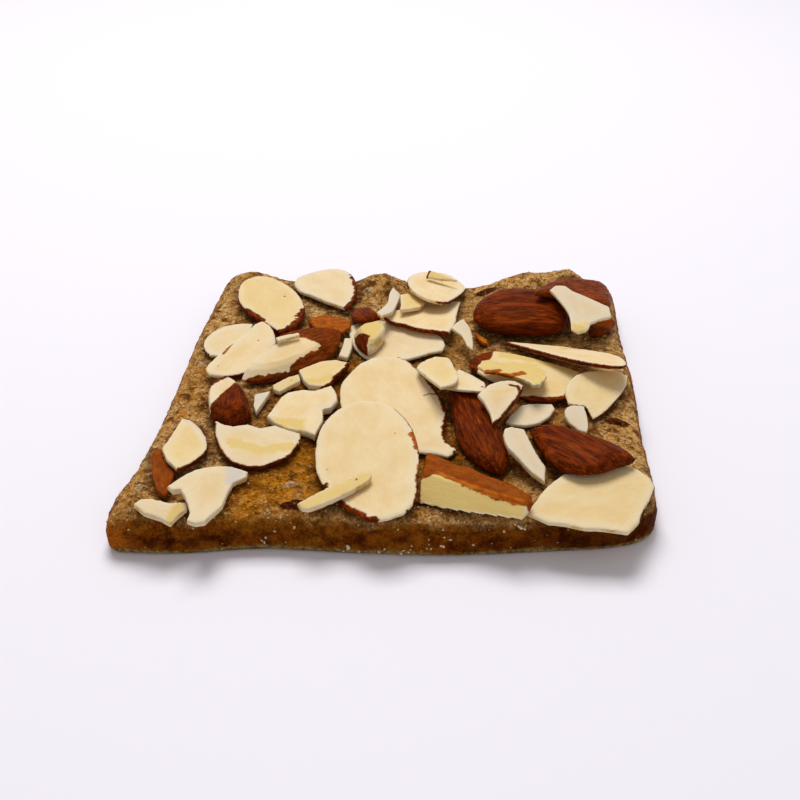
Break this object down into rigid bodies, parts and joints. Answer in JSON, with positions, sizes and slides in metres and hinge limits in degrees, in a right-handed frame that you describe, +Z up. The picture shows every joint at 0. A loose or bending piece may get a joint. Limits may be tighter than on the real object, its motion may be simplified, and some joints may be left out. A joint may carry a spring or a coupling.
{
  "type": "spice cookie",
  "caption": "Flat, roughly square hand-cut spiced biscuit with flaked and broken almonds baked on its uneven brown top.",
  "frame": {"origin": "middle of the flat underside, on the surface the cookie lies on", "axes": "+X to the right along the front edge, +Y away from the front edge, +Z up out of the almond-covered top"},
  "size_m": [0.072, 0.0704, 0.0123],
  "materials": {
    "dough": "matt baked spiced dough, grainy, tan on top and darker brown at the cut sides",
    "almond_flesh": "smooth dull cream almond flesh, yellower where it is thick",
    "almond_skin": "wrinkled red-brown almond skin with a slight oily sheen",
    "almond_skin_amber": "orange-brown almond skin, slightly translucent"
  },
  "bodies": {
    "root": {"almond_back_flap": "almond_flesh", "almond_back_left_half": "almond_flesh", "almond_back_left_round": "almond_flesh", "almond_back_lilac": "almond_flesh", "almond_back_round": "almond_flesh", "almond_back_thin": "almond_flesh", "almond_back_yellow": "almond_flesh", "almond_bar": "almond_flesh", "almond_big_centre": "almond_flesh", "almond_big_front": "almond_flesh", "almond_big_right": "almond_flesh", "almond_brown_edge": "almond_flesh", "almond_brown_front": "almond_skin", "almond_chip_mid": "almond_flesh", "almond_chunk_left": "almond_skin", "almond_chunk_yellow": "almond_flesh", "almond_corner_chip": "almond_flesh", "almond_corner_white": "almond_flesh", "almond_crescent": "almond_flesh", "almond_front_wedge": "almond_skin_amber", "almond_grey_chip": "almond_flesh", "almond_left_big_chip": "almond_flesh", "almond_left_chip": "almond_flesh", "almond_left_leg": "almond_flesh", "almond_left_pointed": "almond_flesh", "almond_left_white": "almond_flesh", "almond_long_tilted": "almond_flesh", "almond_ragged": "almond_flesh", "almond_ridged_brown": "almond_skin", "almond_right_flat": "almond_flesh", "almond_right_slice": "almond_flesh", "almond_small_right": "almond_flesh", "almond_small_tip": "almond_flesh", "almond_splinter": "almond_flesh", "almond_stick": "almond_flesh", "almond_tile": "almond_flesh", "almond_top_chip": "almond_flesh", "almond_top_triangle": "almond_flesh", "almond_under_back": "almond_flesh", "almond_under_left": "almond_flesh", "almond_under_right": "almond_flesh", "almond_white_stick": "almond_flesh", "almond_whole_brown": "almond_skin", "dough": "dough", "skin_amber_back": "almond_skin_amber", "skin_corner_curved": "almond_skin", "skin_corner_small": "almond_skin", "skin_dark_back": "almond_skin", "skin_orange_scrap": "almond_skin_amber", "skin_strip_left": "almond_skin"}
  },
  "joints": []
}
